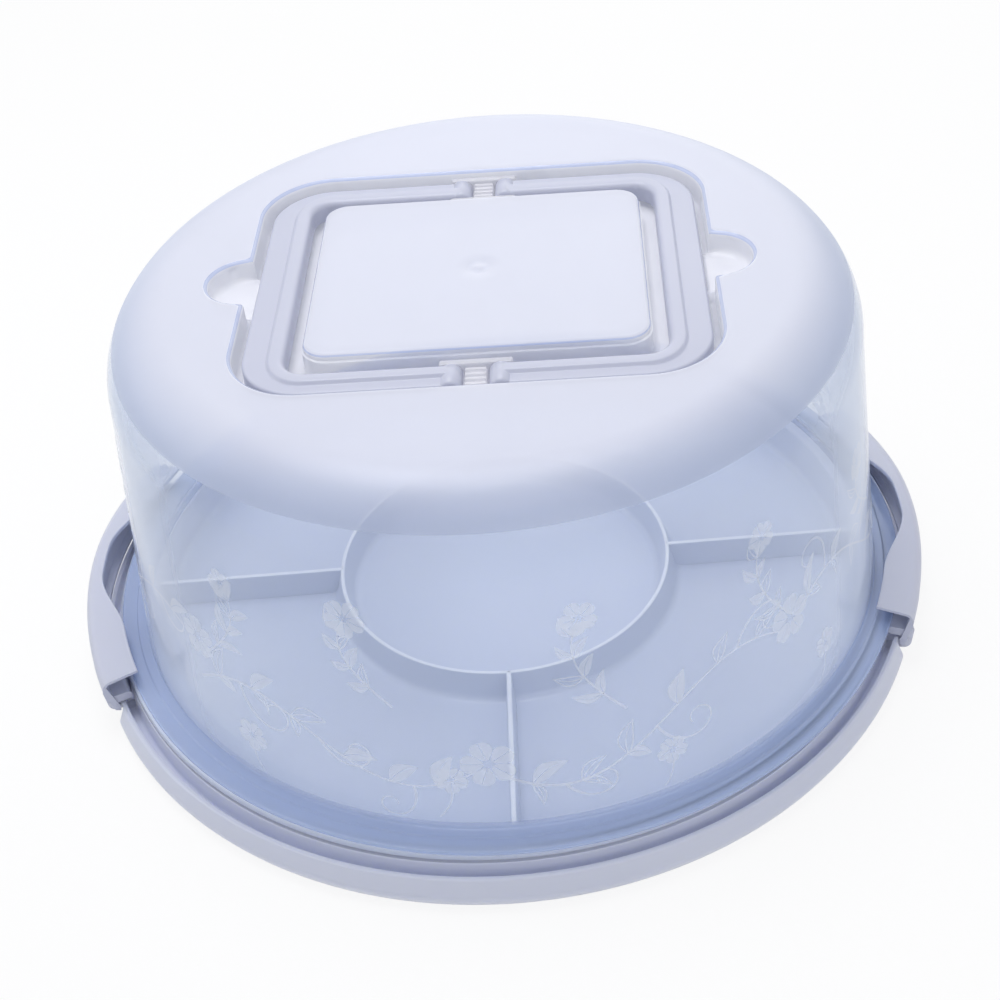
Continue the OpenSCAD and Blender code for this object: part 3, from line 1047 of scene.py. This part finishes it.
def polar(p, deg):
    """A section's (radius, height) point turned to an angle in degrees."""
    t = math.radians(deg)
    return (p.x * math.cos(t), p.x * math.sin(t), p.y)


# ---- Stage ----


def sees_background(tree):
    """1 for rays from the camera, a reflection or through glass, and 0 for the other rays."""
    path = tree.nodes.new("ShaderNodeLightPath")
    total = path.outputs["Is Camera Ray"]
    for name in ("Is Glossy Ray", "Is Transmission Ray"):
        total = calculate(tree, "MAXIMUM", total, path.outputs[name])
    return total


def stage():
    """A pale floor that keeps the object's shadow, a pale world and soft lamps."""
    bpy.ops.mesh.primitive_plane_add(size=40, location=(0, 0, -0.0002))
    floor = bpy.context.object
    floor.name = "floor"
    m, tree, shader, surface = new_material("floor_white")
    shader.inputs["Base Color"].default_value = (0.93, 0.93, 0.94, 1)
    shader.inputs["Roughness"].default_value = 0.9
    white = tree.nodes.new("ShaderNodeEmission")
    some = calculate(tree, "MULTIPLY", sees_background(tree), 0.86)
    tree.links.new(mix_shaders(tree, some, shader.outputs[0], white.outputs[0]), surface)
    floor.data.materials.append(m)

    world = bpy.data.worlds.new("studio")
    bpy.context.scene.world = world
    world.use_nodes = True
    tree = world.node_tree
    light = next(n for n in tree.nodes if n.type == "BACKGROUND")
    out = next(n for n in tree.nodes if n.type == "OUTPUT_WORLD")
    light.inputs["Color"].default_value = (0.93, 0.95, 1.0, 1)
    light.inputs["Strength"].default_value = 0.52
    plain = tree.nodes.new("ShaderNodeBackground")
    # As the far floor, so no horizon shows
    plain.inputs["Color"].default_value = (0.93, 0.93, 0.935, 1)
    seen = mix_shaders(tree, sees_background(tree), light.outputs[0], plain.outputs[0])
    tree.links.new(seen, out.inputs["Surface"])

    centre = Vector((0, 0, 0.06))  # the lamps point at it
    for name, place, size, power in (
        ("overhead", (-0.1, 0.14, 1.0), 0.55, 4.2),
        ("left", (-0.9, 0.25, 0.6), 0.8, 1.4),
        ("front", (0.4, -1.05, 0.55), 0.7, 1.5),
        ("right", (0.95, 0.1, 0.5), 0.8, 0.5),
        ("back", (0.2, 1.0, 0.5), 0.9, 1.6),
    ):
        data = bpy.data.lights.new(name, "AREA")
        data.shape, data.size, data.energy = "DISK", size, power
        lamp = bpy.data.objects.new(name, data)
        lamp.location = place
        lamp.rotation_mode = "QUATERNION"
        lamp.rotation_quaternion = (centre - Vector(place)).to_track_quat("-Z", "Y")
        bpy.context.scene.collection.objects.link(lamp)


def camera():
    """The photograph's view, its place and framing found by fitting the object's outlines."""
    distance = 0.6313
    azimuth, elevation, roll = (math.radians(v) for v in (0.1, 38.55, -4.59))
    target = Vector((0.0232, 0, 0.0533))
    flat = math.cos(elevation)
    back = Vector((math.sin(azimuth) * flat, -math.cos(azimuth) * flat, math.sin(elevation)))
    right = Vector((math.cos(azimuth), math.sin(azimuth), 0))
    up = back.cross(right)
    r = right * math.cos(roll) + up * math.sin(roll)
    u = up * math.cos(roll) - right * math.sin(roll)
    data = bpy.data.cameras.new("camera")
    data.lens, data.sensor_width = 61.3, 36
    data.shift_x, data.shift_y = -0.0584, -0.0276
    cam = bpy.data.objects.new("camera", data)
    turn = Matrix((r, u, back)).transposed().to_4x4()
    cam.matrix_world = Matrix.Translation(target + back * distance) @ turn
    bpy.context.scene.collection.objects.link(cam)
    bpy.context.scene.camera = cam


base_ring()
serving_tray()
lid_shell()
vine()
handle("right_handle", "handle_right", "right_handle", 0)
handle("left_handle", "handle_left", "left_handle", math.pi)
latch("right_latch", "latch_right", "right_latch", 0, *RIGHT_LATCH)
latch("left_latch", "latch_left", "left_latch", math.pi, *LEFT_LATCH)
stage()
camera()
bpy.context.scene.view_settings.view_transform = "Standard"
